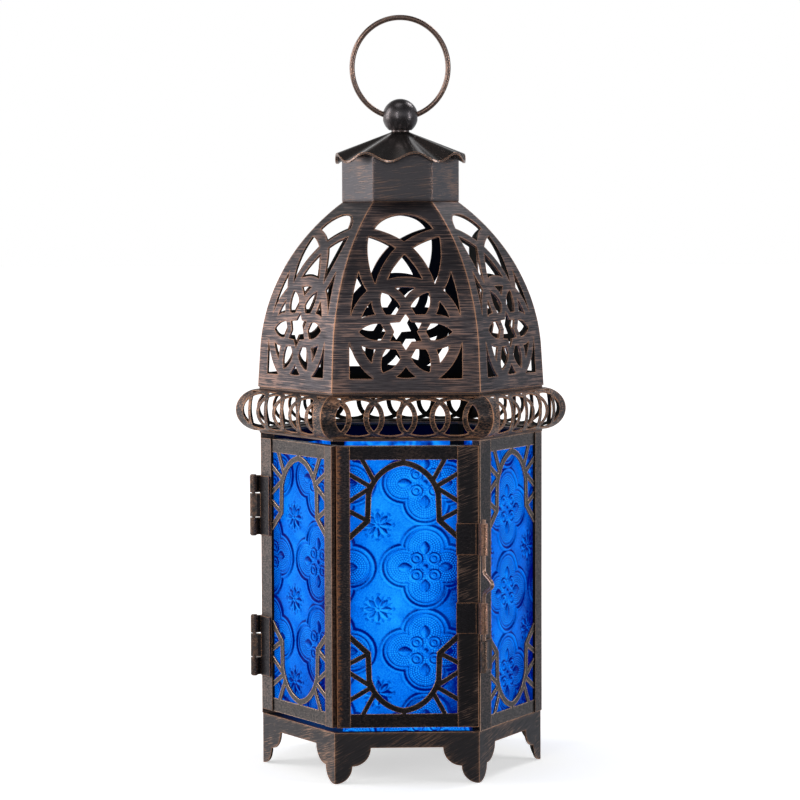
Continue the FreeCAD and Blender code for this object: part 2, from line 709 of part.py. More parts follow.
def hang_ring():
    """Wire ring, a little taller than wide, with a butt joint low on its right side."""
    centre = Vec(0, 0, ring_axis_z - ring_drop + ring_half_height)
    top = centre + Vec(0, 0, ring_half_height)
    ellipse = Part.Ellipse(top, centre + Vec(ring_half_width, 0, 0), centre)
    spine = ellipse.toShape()
    first, last = spine.ParameterRange
    joint_at = ellipse.parameter(centre + Vec(math.cos(math.radians(ring_joint)) * ring_half_width, 0,
                                              math.sin(math.radians(ring_joint)) * ring_half_height))
    gap = math.radians(ring_joint_gap)
    path = Part.ArcOfEllipse(ellipse, joint_at + gap, joint_at + last - first).toShape()
    start = path.valueAt(path.FirstParameter)
    tangent = path.tangentAt(path.FirstParameter)
    section = Part.Wire(Part.makeCircle(ring_wire_radius, start, tangent))
    return Part.Wire([path]).makePipeShell([section], True, False)


# ---------------------------------------------------------------- build every node
os.makedirs("parts", exist_ok=True)

save("base_skirt", base_skirt())
save("floor_plate", floor_plate())
save("candle_cup", candle_cup())
save("candle_cup_rivets", cup_rivet(-cup_rivet_offset), cup_rivet(cup_rivet_offset))

fixed_span = (body_bottom, body_top, fixed_rail_height, [body_top - 0.6])
door_span = (door_bottom, door_top, rail_height, [door_bottom, door_top - 0.6])
panels = {"fretwork_right": ("right", latch_post_width, post_width, fixed_span),
          "fretwork_back_right": ("back_right", post_width, post_width, fixed_span),
          "fretwork_back": ("back", post_width, post_width, fixed_span),
          "fretwork_back_left": ("back_left", post_width, hinge_stile_width, fixed_span),
          "door_fretwork_left": ("left", hinge_stile_width, post_width + 0.4, door_span),
          "door_fretwork_front": ("front", post_width + 0.4, hinge_stile_width + 0.2, door_span)}
for node, (face, left_width, right_width, span) in panels.items():
    save(node, turned(fretwork(left_width, right_width, *span), turns[face]))

for face in ("right", "back_right", "back", "back_left"):
    save("glass_" + face, turned(pane(body_bottom + 0.1, body_top - 0.7), turns[face]))
for face in ("left", "front"):
    save("door_glass_" + face, turned(pane(door_bottom + 0.7, door_top - 0.7), turns[face]))

save("corner_post_right", corner_post(turns["right"], post_width))
save("corner_post_back_right", corner_post(turns["back_right"], post_width))
save("corner_post_back_left", corner_post(turns["back"], post_width))
hinge_post = stile(hinge_stile_width, door_edge_gap, body_bottom, body_top)
save("hinge_post", turned(hinge_post, turns["back_left"]))
latch_post = stile(latch_post_width, door_edge_gap, body_bottom, body_top)
save("latch_post", turned(mirrored(latch_post), turns["right"]))

outer_stile = stile(hinge_stile_width, door_edge_gap, door_bottom, door_top)
inner_stile = stile(post_width + 0.4, door_corner_gap, door_bottom, door_top)
save("door_hinge_stile", turned(mirrored(outer_stile), turns["left"]))
save("door_left_inner_stile", turned(inner_stile, turns["left"]))
save("door_front_inner_stile", mirrored(inner_stile))
save("door_latch_stile", outer_stile)
save("door_corner_strip", door_corner_strip())

for level, spans in hinge_spans.items():
    save("hinge_door_leaf_" + level, turned(mirrored(hinge_door_leaf(spans)), turns["left"]))
    save("hinge_frame_leaf_" + level, turned(hinge_frame_leaf(spans), turns["back_left"]))
    save("hinge_pin_" + level, turned(hinge_pin(spans), turns["back_left"]))

guide_bore = bolt_radius + pin_clearance
for level, span in guide_spans.items():
    guide = barrel_leaf(guide_leaf_width, guide_radius, guide_bore, span, [span])
    save("latch_guide_" + level, guide)
keeper = barrel_leaf(guide_leaf_width, guide_radius, guide_bore, keeper_span, [keeper_span])
save("latch_keeper", turned(mirrored(keeper), turns["right"]))
save("latch_bolt", latch_bolt())

save("gallery_lower_ring", gallery_ring(gallery_ring_bottom))
save("gallery_upper_ring", gallery_ring(gallery_top - sheet))
gallery = gallery_strip()
petal = dome_petal()
for face, angle in turns.items():
    save("gallery_" + face, turned(gallery, angle))
    save("dome_petal_" + face, turned(petal, angle))

cap = cap_roof()
save("cap_roof", cap)
save("collar", collar(cap))
save("collar_strap", collar_strap())
save("finial_washer", finial_washer())
save("finial_stud", finial_stud())
save("finial_nut", finial_nut())
save("ball_finial", ball_finial())
save("hang_ring", hang_ring())
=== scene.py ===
"""Looks of the hexagonal candle lantern: pressed blue glass panes and worn antique bronze.

Every length is in metres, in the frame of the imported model. A face item is drawn on the front face,
where t runs right, n runs out from the axis and z runs up, and is then turned about Z to its own face.
"""

import math
from collections import namedtuple

import bpy
import numpy as np
from mathutils import Matrix, Vector


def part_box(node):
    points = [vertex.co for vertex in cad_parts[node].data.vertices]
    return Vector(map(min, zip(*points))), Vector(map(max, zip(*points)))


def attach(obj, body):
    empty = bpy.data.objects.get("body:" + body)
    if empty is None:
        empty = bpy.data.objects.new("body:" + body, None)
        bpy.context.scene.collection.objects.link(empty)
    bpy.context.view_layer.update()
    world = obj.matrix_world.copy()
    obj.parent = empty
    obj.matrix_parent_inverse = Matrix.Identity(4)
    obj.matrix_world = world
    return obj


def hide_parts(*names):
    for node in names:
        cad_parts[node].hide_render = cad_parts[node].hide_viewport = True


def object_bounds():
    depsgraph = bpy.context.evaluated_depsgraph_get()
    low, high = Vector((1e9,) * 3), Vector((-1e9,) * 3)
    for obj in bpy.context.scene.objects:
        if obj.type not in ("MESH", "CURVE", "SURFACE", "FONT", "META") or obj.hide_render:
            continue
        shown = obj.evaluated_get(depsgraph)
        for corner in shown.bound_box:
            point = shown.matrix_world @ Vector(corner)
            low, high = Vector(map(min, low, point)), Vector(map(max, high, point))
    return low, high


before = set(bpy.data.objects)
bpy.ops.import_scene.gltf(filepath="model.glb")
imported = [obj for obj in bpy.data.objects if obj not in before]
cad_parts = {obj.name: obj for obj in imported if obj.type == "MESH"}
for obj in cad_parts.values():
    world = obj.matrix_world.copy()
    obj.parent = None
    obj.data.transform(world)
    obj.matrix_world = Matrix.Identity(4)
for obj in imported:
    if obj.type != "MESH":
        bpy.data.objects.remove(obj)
cad_low, cad_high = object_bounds()

MM = 0.001
TURNS = {"front": 0, "right": 60, "back_right": 120, "back": 180, "back_left": 240, "left": 300}


# ---------------------------------------------------------------- mesh helpers
def mesh_piece(name, points, faces, material):
    mesh = bpy.data.meshes.new(name)
    mesh.from_pydata(points.tolist(), [], faces)
    mesh.update()
    mesh.materials.append(material)
    piece = bpy.data.objects.new(name, mesh)
    bpy.context.scene.collection.objects.link(piece)
    return piece


def on_face(turn, t, n, z):
    """Points of a face, given in its own t, n and z, as rows of x, y and z."""
    c = math.cos(math.radians(turn))
    s = math.sin(math.radians(turn))
    return np.stack([t * c + n * s, t * s - n * c, z], axis=1)


# ---------------------------------------------------------------- material helpers
class Nodes:
    """Short ways to add and join shader nodes in one material or world."""

    def __init__(self, tree):
        self.tree = tree

    def add(self, kind, **settings):
        node = self.tree.nodes.new(kind)
        for name, value in settings.items():
            setattr(node, name, value)
        return node

    def join(self, source, target):
        self.tree.links.new(source, target)

    def feed(self, socket, value):
        """Joins value to the socket if it is an output, or else sets it."""
        if isinstance(value, bpy.types.NodeSocket):
            self.join(value, socket)
        else:
            socket.default_value = value

    def math(self, operation, first, second=0.0, clamp=False):
        node = self.add("ShaderNodeMath", operation=operation, use_clamp=clamp)
        self.feed(node.inputs[0], first)
        self.feed(node.inputs[1], second)
        return node.outputs[0]

    def vector_math(self, operation, first, second=None, result="Vector"):
        node = self.add("ShaderNodeVectorMath", operation=operation)
        self.join(first, node.inputs[0])
        if second is not None:
            self.feed(node.inputs[1], second)
        return node.outputs[result]

    def own_place(self):
        """Where the point is in the object's own axes, which at rest are the lantern's."""
        return self.add("ShaderNodeTexCoord").outputs["Object"]

    def axes(self, vector):
        """The X, Y and Z of a vector."""
        parts = self.add("ShaderNodeSeparateXYZ")
        self.join(vector, parts.inputs[0])
        return parts.outputs

    def place(self, scale, turn=(0, 0, 0)):
        """The object's own coordinates, turned and then scaled."""
        turned = self.add("ShaderNodeMapping")
        turned.inputs["Rotation"].default_value = turn
        scaled = self.add("ShaderNodeMapping")
        scaled.inputs["Scale"].default_value = scale
        self.join(self.own_place(), turned.inputs["Vector"])
        self.join(turned.outputs["Vector"], scaled.inputs["Vector"])
        return scaled.outputs["Vector"]

    def noise(self, vector, detail=3.0, roughness=0.55):
        """Noise from about 0.2 to 0.8, with cells one unit of the vector wide."""
        node = self.add("ShaderNodeTexNoise")
        node.inputs["Scale"].default_value = 1.0
        node.inputs["Detail"].default_value = detail
        node.inputs["Roughness"].default_value = roughness
        self.join(vector, node.inputs["Vector"])
        return node.outputs["Fac"]

    def rounded_normal(self, radius):
        """The surface's normal as if its edges were rounded to radius."""
        bevel = self.add("ShaderNodeBevel", samples=4)
        bevel.inputs["Radius"].default_value = radius
        return bevel.outputs["Normal"]

    def ramp(self, value, low, high, out_low=0.0, out_high=1.0):
        """Maps low..high to out_low..out_high, held at both ends."""
        node = self.add("ShaderNodeMapRange", clamp=True)
        self.feed(node.inputs["Value"], value)
        node.inputs["From Min"].default_value = low
        node.inputs["From Max"].default_value = high
        node.inputs["To Min"].default_value = out_low
        node.inputs["To Max"].default_value = out_high
        return node.outputs["Result"]

    def blend(self, share, first, second):
        """A colour between two."""
        node = self.add("ShaderNodeMix", data_type="RGBA")
        self.feed(node.inputs[0], share)
        self.feed(node.inputs[6], first)
        self.feed(node.inputs[7], second)
        return node.outputs[2]


def new_material(name):
    material = bpy.data.materials.new(name)
    material.use_nodes = True
    nodes = Nodes(material.node_tree)
    shader = material.node_tree.nodes["Principled BSDF"]
    return material, nodes, shader


# ---------------------------------------------------------------- antique bronze
SOOT = (0.022, 0.020, 0.022, 1)
SLATE = (0.120, 0.106, 0.108, 1)
NIGHT = (0.055, 0.051, 0.058, 1)
SATIN_DARK = (0.075, 0.068, 0.068, 1)
SATIN = (0.125, 0.110, 0.106, 1)
BROWN = (0.30, 0.19, 0.145, 1)
COPPER = (0.72, 0.36, 0.20, 1)
# pale copper of edge wear, pale enough to paint a highlight along the edges
PALE_COPPER_GLINT = (0.95, 0.62, 0.45, 1)
RUBBED = (0.42, 0.18, 0.09, 1)
GUIDE_COPPER = (0.50, 0.27, 0.19, 1)
# light copper of the latch bolt: partly its worn copper, partly painted sheen
BOLT_COPPER_SHEEN = (0.62, 0.42, 0.33, 1)
# near black of faces turned to the lantern's axis: painted shade of the unlit inside
INSIDE_SHADE = (0.006, 0.005, 0.004, 1)

# noise cells per metre along x, y and z: for each kind of brushing, and for the rest
GRAIN = {"level": (80.0, 80.0, 2600.0),
         "upright": (2200.0, 2200.0, 90.0),
         "slanted": (120.0, 120.0, 3000.0),
         "scratched": (150.0, 150.0, 5200.0),
         "scuffed": (900.0, 900.0, 1900.0),
         "smooth": (1500.0, 1500.0, 1500.0)}
PATCH_CELLS = (70.0, 70.0, 70.0)
SPECK_CELLS = (1700.0, 1700.0, 1700.0)
BARREL_CELLS = (1100.0, 1100.0, 500.0)
TEETH_CELLS = (250.0, 250.0, 1500.0)
RUB_CELLS = (1300.0, 1300.0, 2000.0)

LACQUER_SHINE = 0.10
BRUSH_DEPTH = 0.05 * MM
FADE_HEIGHT = 30 * MM         # over which the painted shade deepens and the brushing fades, down to FADE_LEAST
FADE_LEAST = 0.45
BARRELS_FROM = 57.8 * MM      # from the lantern's axis, and wholly barrel from BARRELS_WHOLLY on
BARRELS_WHOLLY = 58.1 * MM
TEETH_REACH = 1.3 * MM        # of the ragged edge of a rubbed band, each way
BROAD = 4                     # times as wide as the rim is the ragged band beside it


def from_axis(nodes):
    """Level vector to the point from the lantern's upright axis."""
    return nodes.vector_math("MULTIPLY", nodes.own_place(), (1, 1, 0))


def axis_distance(nodes):
    return nodes.vector_math("LENGTH", from_axis(nodes), result="Value")


def outwards(nodes):
    """1 where a surface faces away from the lantern's own axis, -1 where it faces the axis."""
    normal = nodes.add("ShaderNodeTexCoord").outputs["Normal"]
    radial = nodes.vector_math("NORMALIZE", from_axis(nodes))
    return nodes.vector_math("DOT_PRODUCT", radial, normal, "Value")


def bronze(name, grain="level", slant=0.0, streaks=0.5, wear_and_glint=0.7, fringe=0.5, edge=0.45 * MM,
           round_edge=0.25 * MM, gloss=0.40, dark=SOOT, mid=SLATE, rub=BROWN, rim_colour=COPPER,
           marks_from=0.77, sharpness=9.0, bump_strength=0.30, shade_inside=True, painted_shade_from=None):
    """Dark lacquer brushed with copper. The amounts of streaks, edge copper and fringe say how much copper
    shows in brush marks, along the edges and in a ragged band beside them; the edge copper is wear and a
    painted highlight as well. sharpness makes the marks thin. Faces turned to the lantern's axis can get
    painted shade, and above a given height the lacquer darkens into painted shade as the brushing fades."""
    material, nodes, shader = new_material(name)
    brush = nodes.noise(nodes.place(GRAIN[grain], (0, slant, 0)), detail=5.0, roughness=0.68)
    patches = nodes.noise(nodes.place(PATCH_CELLS), detail=2.0)
    specks = nodes.noise(nodes.place(SPECK_CELLS), detail=2.0, roughness=0.7)
    flat = nodes.add("ShaderNodeNewGeometry").outputs["Normal"]

    def near_edge(radius, sure):
        """0 on flat metal, rising to 1 where the rounded normal's cosine to the flat one is sure or less."""
        cosine = nodes.vector_math("DOT_PRODUCT", nodes.rounded_normal(radius), flat, "Value")
        return nodes.ramp(cosine, 0.998, sure)

    tone = nodes.ramp(brush, 0.34, 0.66)
    # above the given height the lacquer darkens into painted shade and the copper marks fade
    if painted_shade_from:
        height = nodes.axes(nodes.own_place())["Z"]
        brushed = nodes.ramp(height, painted_shade_from, painted_shade_from + FADE_HEIGHT, 1.0, FADE_LEAST)
        tone = nodes.math("MULTIPLY", tone, brushed)
        streaks = nodes.math("MULTIPLY", brushed, streaks)
    lacquer = nodes.blend(tone, dark, mid)
    mark = nodes.math("SUBTRACT", nodes.math("ADD", brush, nodes.math("MULTIPLY", patches, 0.5)), marks_from)
    mark = nodes.math("MULTIPLY", mark, sharpness, clamp=True)
    marked = nodes.blend(nodes.math("MULTIPLY", mark, streaks), lacquer, rub)

    band = nodes.math("MULTIPLY", near_edge(BROAD * edge, 0.97), nodes.ramp(brush, 0.44, 0.60))
    fringed = nodes.blend(nodes.math("MULTIPLY", band, fringe), marked, rub)
    broken = nodes.ramp(nodes.math("ADD", specks, patches), 0.62, 1.0, 0.35, 1.0)
    # copper along the edges: wear, and a painted highlight along them
    rim = nodes.math("MULTIPLY", near_edge(edge, 0.90), nodes.math("MULTIPLY", broken, wear_and_glint), clamp=True)
    colour = nodes.blend(rim, fringed, rim_colour)
    metal = nodes.math("SUBTRACT", 0.90, nodes.math("MULTIPLY", rim, 0.45))
    # faces turned to the axis turn near black and lose their metal: painted shade of the unlit inside
    if shade_inside:
        inner = nodes.ramp(outwards(nodes), -0.35, -0.20, 1.0, 0.0)
        colour = nodes.blend(inner, colour, INSIDE_SHADE)
        metal = nodes.math("MULTIPLY", metal, nodes.math("SUBTRACT", 1.0, inner))
    nodes.join(colour, shader.inputs["Base Color"])
    nodes.join(metal, shader.inputs["Metallic"])
    shader.inputs["Specular IOR Level"].default_value = LACQUER_SHINE
    nodes.join(nodes.ramp(brush, 0.3, 0.7, gloss + 0.10, gloss - 0.08), shader.inputs["Roughness"])

    bump = nodes.add("ShaderNodeBump")
    bump.inputs["Strength"].default_value = bump_strength
    bump.inputs["Distance"].default_value = BRUSH_DEPTH
    nodes.join(brush, bump.inputs["Height"])
    nodes.join(nodes.rounded_normal(round_edge), bump.inputs["Normal"])
    nodes.join(bump.outputs["Normal"], shader.inputs["Normal"])
    return material


def repaint(material, cover):
    """Gives the material the colour that cover makes from its nodes and the colour it has."""
    nodes = Nodes(material.node_tree)
    base = material.node_tree.nodes["Principled BSDF"].inputs["Base Color"]
    nodes.join(cover(nodes, base.links[0].from_socket), base)
    return material


def hardware(name, barrel):
    """Flat black plates with a rolled barrel of its own colour beyond the corner of the body."""
    def cover(nodes, plate):
        rubbed = nodes.noise(nodes.place(BARREL_CELLS), detail=3.0)
        curl = nodes.blend(nodes.ramp(rubbed, 0.42, 0.62), barrel, BROWN)
        on_barrel = nodes.ramp(axis_distance(nodes), BARRELS_FROM, BARRELS_WHOLLY)
        return nodes.blend(on_barrel, plate, curl)

    return repaint(bronze(name, "scuffed", streaks=0.10, wear_and_glint=0.75, fringe=0.1, gloss=0.28, dark=SOOT,
                          mid=NIGHT, shade_inside=False), cover)


def rubbed_stile(name, band_from, band_to):
    """Channel with a band rubbed through to copper; the band's inner edge at band_to is ragged."""
    def cover(nodes, plain):
        teeth = nodes.noise(nodes.place(TEETH_CELLS), detail=4.0, roughness=0.7)
        ragged = nodes.ramp(teeth, 0.3, 0.7, TEETH_REACH, -TEETH_REACH)
        reach = nodes.math("ADD", nodes.axes(nodes.own_place())["X"], ragged)
        band = nodes.ramp(reach, band_from, band_to, 1.0, 0.0)
        specks = nodes.ramp(nodes.noise(nodes.place(RUB_CELLS), detail=3.0), 0.38, 0.58)
        return nodes.blend(nodes.math("MULTIPLY", band, specks), plain, RUBBED)

    return repaint(bronze(name, "scuffed", streaks=0.2, wear_and_glint=0.8, dark=SOOT, mid=NIGHT), cover)


# ---------------------------------------------------------------- pressed glass
PITCH_T = 36.8 * MM           # between medallions across and up the pane
PITCH_Z = 32.6 * MM
STRETCH_T = 1.04              # the pattern is a little wider than tall
STRETCH_Z = 0.97
RELIEF = 0.55 * MM            # what a height of 1 stands out by
LOWEST = -0.4                 # heights that the pattern is held to
HIGHEST = 1.1
GLASS_STEP = 0.26 * MM        # between points of the pressed side
INNER_STEP = 1.25 * MM        # between points of the smooth inner side

# a medallion: four lobes full of dots, an almond in each, a curl between each two, and a heart
LOBE_OFFSET = 7.9 * MM
LOBE_RADIUS = 8.4 * MM
DOTS_WITHIN = LOBE_RADIUS - 2.4 * MM
DOT_PITCH = 0.88 * MM
ALMOND = (7.6 * MM, 2.7 * MM, 1.7 * MM)        # middle, half length and half width
CURL_OFFSET = 3.3 * MM
CURL_REACH = 2.7 * MM
HEART_REACH = 1.6 * MM

# a star: eight petals, a tip beyond each and a leaf between each two
PETAL = (3.0 * MM, 2.2 * MM, 1.15 * MM)
TIP = (5.9 * MM, 0.8 * MM, 1.10 * MM)
LEAF = (4.7 * MM, 1.3 * MM, 0.50 * MM)


def ridge(distance, radius, width):
    return np.exp(-((distance - radius) / width) ** 2)


def dotted(across, up, pitch):
    """Raised dots on rings round a centre, with one pitch between rings and between dots."""
    radius = np.hypot(across, up)
    ring = np.maximum(np.round(radius / pitch), 1)
    count = np.round(2 * math.pi * ring)
    step = np.arctan2(up, across) / (2 * math.pi) * count
    off_round = (step - np.round(step)) / count * 2 * math.pi * radius
    off_radius = radius - ring * pitch
    return np.exp(-(off_round ** 2 + off_radius ** 2) / (0.30 * pitch) ** 2)


def lens(along, across, middle, half_length, half_width):
    """1 in the middle of a pointed almond, 0 on its edge and less outside."""
    return 1 - ((along - middle) / half_length) ** 2 - np.abs(across) / half_width


def folded(u, w, count):
    """Distances along and across the nearest of count spokes round (0, 0)."""
    spoke = 2 * math.pi / count
    turn = np.round(np.arctan2(w, u) / spoke) * spoke
    return u * np.cos(turn) + w * np.sin(turn), w * np.cos(turn) - u * np.sin(turn)


def medallion(u, w):
    """Height and painted light and shade of a four-lobed rosette round (0, 0)."""
    along, across = folded(u, w, 4)
    reach = np.hypot(along - LOBE_OFFSET, across)
    almond = lens(along, across, *ALMOND)
    curl = np.hypot(np.abs(u) - CURL_OFFSET, np.abs(w) - CURL_OFFSET)
    heart = np.hypot(u, w)
    dots = dotted(along - LOBE_OFFSET, across, DOT_PITCH)
    in_almond = almond > -0.25
    in_curl = curl < CURL_REACH
    in_heart = heart < HEART_REACH

    height = ridge(reach, LOBE_RADIUS, 0.70 * MM)
    height += 0.45 * ridge(reach, LOBE_RADIUS - 1.7 * MM, 0.34 * MM)
    height = np.where(reach < DOTS_WITHIN, 0.40 * dots, height)
    height = np.where(in_almond, 1.1 * np.sqrt(np.clip(almond, 0, 1)), height)
    swirl = 0.9 * ridge(curl, 2.0 * MM, 0.45 * MM) + 0.9 * ridge(curl, 0.5 * MM, 0.6 * MM)
    height = np.where(in_curl, swirl, height)
    height = np.where(in_heart, 1.1 * ridge(heart, 0, 0.8 * MM), height)
    height = np.where(reach < LOBE_RADIUS + 1.0 * MM, height, 0.0)

    light = np.where(reach < DOTS_WITHIN, 0.95 * dots - 0.17, 0.0)
    shaded_half = (almond > 0) * (across < 0.4 * MM)
    light = np.where(in_almond | in_curl | in_heart, -0.22 * shaded_half, light)
    light -= 0.20 * ridge(reach, LOBE_RADIUS + 0.9 * MM, 0.45 * MM)
    light -= 0.16 * ridge(reach, LOBE_RADIUS - 1.0 * MM, 0.40 * MM)
    return height, light


def star(u, w):
    """Height and painted light and shade of a flower of eight pointed petals round (0, 0)."""
    along, across = folded(u, w, 8)
    petal = lens(along, across, *PETAL)
    tip = lens(along, across, *TIP)
    half_spoke = math.pi / 8
    between_u = u * math.cos(half_spoke) + w * math.sin(half_spoke)
    between_w = w * math.cos(half_spoke) - u * math.sin(half_spoke)
    leaf = lens(*folded(between_u, between_w, 8), *LEAF)

    height = 1.0 * np.sqrt(np.clip(petal, 0, 1)) + 0.15 * np.clip(tip, 0, 1)
    height += 0.8 * ridge(np.hypot(u, w), 0, 0.7 * MM)

    light = -0.36 * (petal > 0.30) * (across > -0.1 * MM) - 0.20 * (tip > 0.2) - 0.26 * (leaf > 0.1)
    light += 0.14 * ((petal > -0.35) & (petal < 0.1) & (along < 5.0 * MM))
    return height, light


def pattern(t, z, first_t, first_z):
    """Height of the pressed pattern, about 0 to 1, and the painted light and shade that it adds to the
    glass.
    A medallion stands at (first_t, first_z)."""
    u = ((t - first_t + PITCH_T / 2) % PITCH_T - PITCH_T / 2) / STRETCH_T
    w = ((z - first_z + PITCH_Z / 2) % PITCH_Z - PITCH_Z / 2) / STRETCH_Z
    star_u = ((t - first_t) % PITCH_T - PITCH_T / 2) / STRETCH_T
    star_w = ((z - first_z) % PITCH_Z - PITCH_Z / 2) / STRETCH_Z
    swell = 0.20 * np.sin(t / (2.3 * MM) + 2 * np.sin(z / (5 * MM))) * np.sin(z / (2.9 * MM) + 1.0)
    medallion_height, medallion_light = medallion(u, w)
    star_height, star_light = star(star_u, star_w)
    return medallion_height + star_height + swell, medallion_light + star_light


# colours of the painted glow: NAVY paints shade, AZURE the glow, SKY highlights; DEEP is the glass's own
# base
NAVY = (0.0, 0.004, 0.16, 1)
AZURE = (0.0004, 0.145, 0.78, 1)
SKY = (0.012, 0.38, 1.0, 1)
DEEP = (0.0, 0.001, 0.010, 1)
GLASS_ROUGHNESS = 0.12
GLASS_IOR = 1.45
GLASS_SHINE = 0.015

# noise cells per metre along x, y and z
CLOUD_CELLS = (60.0, 60.0, 60.0)
UNEVEN_CELLS = (170.0, 170.0, 260.0)
COVERED_CELLS = (200.0, 200.0, 200.0)


def painted_glow_glass(name, shade, strength, depth, clear):
    """Glass that glows though it is no lamp, a painted backlight: navy where shade is 0, for painted shade,
    to sky blue where it is 1, for painted highlights. strength is how bright the painted glow is, depth how
    little light it scatters itself, and clear how much of what is behind it shows."""
    material, nodes, shader = new_material(name)
    value = shade(nodes)
    dim = nodes.blend(nodes.ramp(value, 0.0, 0.5), NAVY, AZURE)
    colour = nodes.blend(nodes.ramp(value, 0.5, 1.0), dim, SKY)
    nodes.join(nodes.blend(depth, colour, DEEP), shader.inputs["Base Color"])
    # the glow is painted backlight, not a lamp
    nodes.join(colour, shader.inputs["Emission Color"])
    shader.inputs["Emission Strength"].default_value = strength
    shader.inputs["Roughness"].default_value = GLASS_ROUGHNESS
    shader.inputs["IOR"].default_value = GLASS_IOR
    shader.inputs["Specular IOR Level"].default_value = GLASS_SHINE
    shader.inputs["Transmission Weight"].default_value = clear
    return material


def pressed_shade(nodes):
    """Painted light and shade of the pattern on the pressed side, a little cloudy."""
    painted_light = nodes.add("ShaderNodeAttribute", attribute_name="painted_light").outputs["Fac"]
    cloud = nodes.noise(nodes.place(CLOUD_CELLS), detail=2.0)
    return nodes.math("ADD", painted_light, nodes.ramp(cloud, 0.3, 0.7, -0.10, 0.10), clamp=True)


def smooth_shade(nodes):
    """Painted light and shade of the pattern seen from behind: blurred, with uneven painted patches."""
    painted_light = nodes.add("ShaderNodeAttribute", attribute_name="painted_light").outputs["Fac"]
    patch = nodes.noise(nodes.place(UNEVEN_CELLS), detail=2.0)
    uneven = nodes.ramp(patch, 0.42, 0.60, -0.20, 0.16)
    return nodes.math("ADD", nodes.ramp(painted_light, 0.22, 0.60, 0.12, 1.0), uneven, clamp=True)


def covered_shade(nodes):
    """Glass with sheet metal behind it: painted shade, with almost no glow."""
    return nodes.ramp(nodes.noise(nodes.place(COVERED_CELLS)), 0.3, 0.7, 0.0, 0.06)


# a pane's material slots
PRESSED, SMOOTH, COVERED = range(3)
blues = [painted_glow_glass("pressed_blue_glass", pressed_shade, strength=1.0, depth=0.88, clear=0.0),
         painted_glow_glass("smooth_blue_glass", smooth_shade, strength=1.0, depth=0.80, clear=0.06),
         painted_glow_glass("covered_blue_glass", covered_shade, strength=0.02, depth=0.97, clear=0.0)]

RAIL = 5.0 * MM               # of the inner side, covered at the top and bottom
FOOT_GAP = 0.35 * MM          # from the skirt up to the painted bright line below the front door panel
FOOT_RISE = 1.0 * MM          # from the CAD pane's lower edge up to the top of that line
FOOT_LIGHT = 0.55
EDGE_LIGHT = 0.45             # share of a pane's painted light that is left at its sides and ends, in painted shade
CORNER_SHADE = 0.18           # by which the painted light drops from the middle to the lower right, as painted shade
LIGHT_GRAIN = 0.09
BLUR = 3                      # pressed steps that the pattern's painted light is blurred by on the inner side

# where light comes through between the stiles, as t from and to
WIDE_FIELD = (-22.1 * MM, 22.1 * MM)
HINGE_SIDE = (-22.1 * MM, 19.7 * MM)
LATCH_SIDE = (-18.3 * MM, 22.1 * MM)
DOOR_LEFT = (-19.7 * MM, 21.7 * MM)
DOOR_FRONT = (-21.7 * MM, 19.5 * MM)

# first_t and first_z are the centre of one medallion; a pane with a foot reaches down to that height
# brightness is how bright each pane's painted glow is
Pane = namedtuple("Pane", "name node body face first_t first_z brightness field foot")
panes = [Pane("pane_right", "glass_right", "lantern", "right",
              0.0, 104.0 * MM, 0.45, LATCH_SIDE, None),
         Pane("pane_back_right", "glass_back_right", "lantern", "back_right",
              4.0 * MM, 92.0 * MM, 0.62, WIDE_FIELD, None),
         Pane("pane_back", "glass_back", "lantern", "back",
              -6.0 * MM, 80.0 * MM, 0.66, WIDE_FIELD, None),
         Pane("pane_back_left", "glass_back_left", "lantern", "back_left",
              9.0 * MM, 98.0 * MM, 0.62, HINGE_SIDE, None),
         Pane("door_pane_left", "door_glass_left", "door", "left",
              13.85 * MM, 84.7 * MM, 0.58, DOOR_LEFT, None),
         Pane("door_pane_front", "door_glass_front", "door", "front",
              7.3 * MM, 84.1 * MM, 0.66, DOOR_FRONT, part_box("base_skirt")[1].z + FOOT_GAP)]


def line(start, end, step):
    """Evenly spaced values from start to end, about step apart."""
    return np.linspace(start, end, round((end - start) / step) + 1)


def quads(grid):
    """Faces between the point numbers of a grid whose rows run up and whose columns run along t."""
    return np.stack([grid[:-1, :-1], grid[:-1, 1:], grid[1:, 1:], grid[1:, :-1]], axis=-1).reshape(-1, 4)


def rim(grid):
    """The four sides of a grid in turn, each with both of its corners."""
    return grid[0], grid[:, -1], grid[-1, ::-1], grid[::-1, 0]


def painted_backlight(pane, t, z):
    """Painted backlight of a pane: painted shade near its sides and ends and to the lower right, a painted
    bright line at the foot of a pane that has one, and grainy.
    """
    middle_t = (pane.field[0] + pane.field[1]) / 2
    half_width = (pane.field[1] - pane.field[0]) / 2
    middle_z = (z.min() + z.max()) / 2
    aside = (t - middle_t) / half_width
    up = (z - middle_z) / (z.max() - middle_z)
    from_side = 1 - np.clip(np.abs(aside), 0, 1) ** 3
    from_end = 1 - np.abs(up) ** 6
    lit = EDGE_LIGHT + (1 - EDGE_LIGHT) * from_side * from_end
    light = pane.brightness * lit - CORNER_SHADE * np.clip(aside - up, 0, 1.6)
    if pane.foot:
        light = np.where(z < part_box(pane.node)[0].z + FOOT_RISE, FOOT_LIGHT, light)
    return light + np.random.default_rng(5).normal(0, LIGHT_GRAIN, light.shape)


def painted_pane_light(pane, t_line, z_line, height, light):
    """Painted light at each point of the pressed side, from 0 to 1: painted shade on steep parts and on
    slopes that face up and to the right, painted highlights on slopes that face down and to the left."""
    slope_z, slope_t = np.gradient(height * RELIEF, z_line, t_line)
    steep = np.hypot(slope_t, slope_z)
    facing_down_left = (slope_t + slope_z) / math.sqrt(2)
    detail = 0.80 * facing_down_left - 0.56 * steep + 0.08 * height + 0.06 + light
    return np.clip(painted_backlight(pane, *np.meshgrid(t_line, z_line)) + detail, 0, 1)


